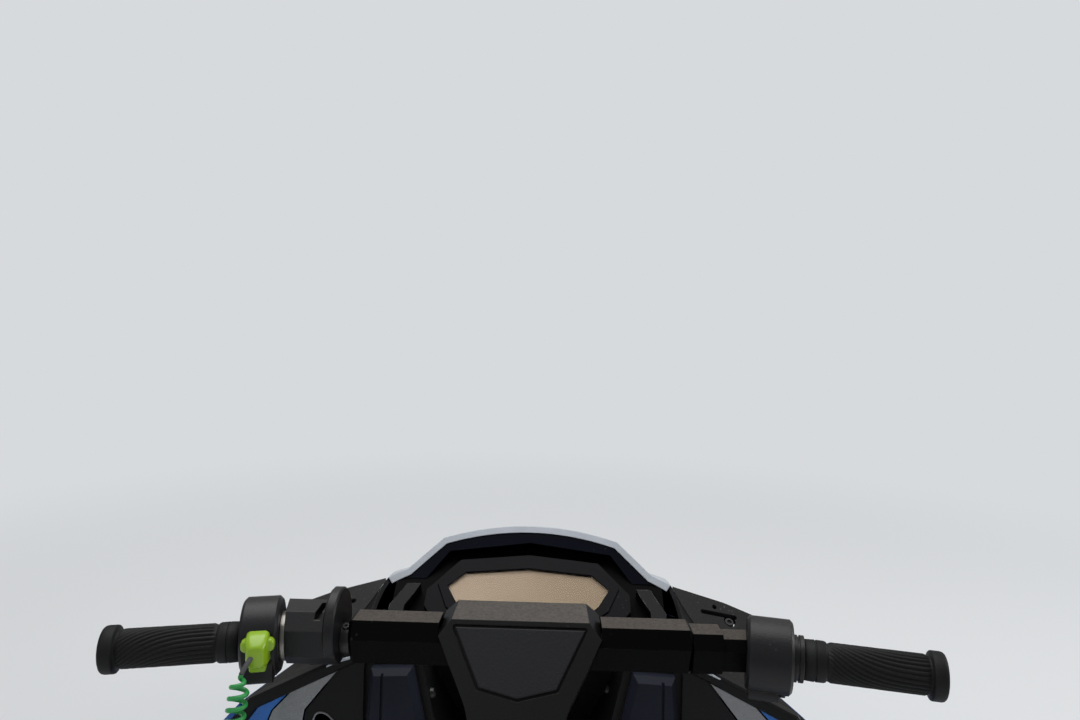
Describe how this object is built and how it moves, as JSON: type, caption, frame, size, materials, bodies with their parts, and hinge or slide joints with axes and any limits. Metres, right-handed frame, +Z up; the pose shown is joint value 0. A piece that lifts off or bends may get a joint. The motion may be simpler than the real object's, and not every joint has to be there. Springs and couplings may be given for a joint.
{
  "type": "personal watercraft helm",
  "caption": "Helm of a personal watercraft: handlebar with grips, levers and coiled stop-switch lanyard on a raked column, visored display and console fairing.",
  "frame": {"origin": "where the steering axis meets the underside of the deck plate, in the middle of the column's four deck bolts", "axes": "+X to starboard, +Y to the bow, +Z up; the steering axis leans back 25 degrees in the YZ plane"},
  "size_m": [0.7498, 0.7967, 0.3954],
  "materials": {
    "white_gloss": "gloss",
    "blue_gloss": "gloss",
    "silver_satin": "satin",
    "black_gloss": "gloss",
    "black_matte": "matte",
    "dark_grey": "matte",
    "grip_rubber": "matte",
    "bare_aluminium": "satin",
    "black_metal": "satin",
    "screen": "satin",
    "cover_glass": "gloss",
    "green_plastic": "gloss",
    "green_cord": "satin",
    "strap_fabric": "woven"
  },
  "bodies": {
    "console": {"cheek_left": "black_matte", "cheek_right": "black_matte", "console_tub": "black_matte", "deck_base": "black_matte", "display_bezel": "dark_grey", "display_glass": "cover_glass", "display_housing": "dark_grey", "hood": "white_gloss", "inner_panel_left": "black_matte", "inner_panel_right": "black_matte", "knee_pad_left": "black_gloss", "knee_pad_right": "black_gloss", "lcd_screen": "screen", "nose_cap": "black_matte", "rear_flank_left": "blue_gloss", "rear_flank_right": "blue_gloss", "recess_panel": "black_matte", "shoulder_trim_left": "black_matte", "shoulder_trim_right": "black_matte", "side_panel_left": "blue_gloss", "side_panel_right": "blue_gloss", "silver_panel_left": "silver_satin", "silver_panel_right": "silver_satin", "steering_bracket": "black_metal", "visor_edge": "white_gloss", "visor_liner": "black_gloss", "visor_pillar_left": "dark_grey", "visor_pillar_right": "dark_grey", "winglet_left": "black_matte", "winglet_right": "black_matte"},
    "handlebar": {"bar_clamp_left": "bare_aluminium", "bar_clamp_right": "bare_aluminium", "bar_collar": "bare_aluminium", "bar_holder": "black_metal", "clamp_ring": "bare_aluminium", "cover_frame": "black_matte", "cover_pad": "black_matte", "cover_wing_left": "black_matte", "cover_wing_right": "black_matte", "grip_left": "grip_rubber", "grip_right": "grip_rubber", "handlebar_tube": "black_metal", "lanyard_clip": "green_plastic", "lanyard_coil": "green_cord", "lanyard_sleeve": "dark_grey", "lanyard_wristband": "strap_fabric", "lever_housing": "black_matte", "reverse_lever": "black_metal", "steering_arm": "black_metal", "steering_shaft": "black_metal", "switch_housing": "black_matte", "throttle_housing": "black_matte", "throttle_lever": "black_metal", "throttle_sleeve": "dark_grey"}
  },
  "joints": [
    {"name": "steering", "type": "hinge", "parent": "console", "child": "handlebar", "pos_m": [0, 0, 0], "axis": [0, -0.4226, 0.9063], "range_deg": [-20, 20]}
  ]
}
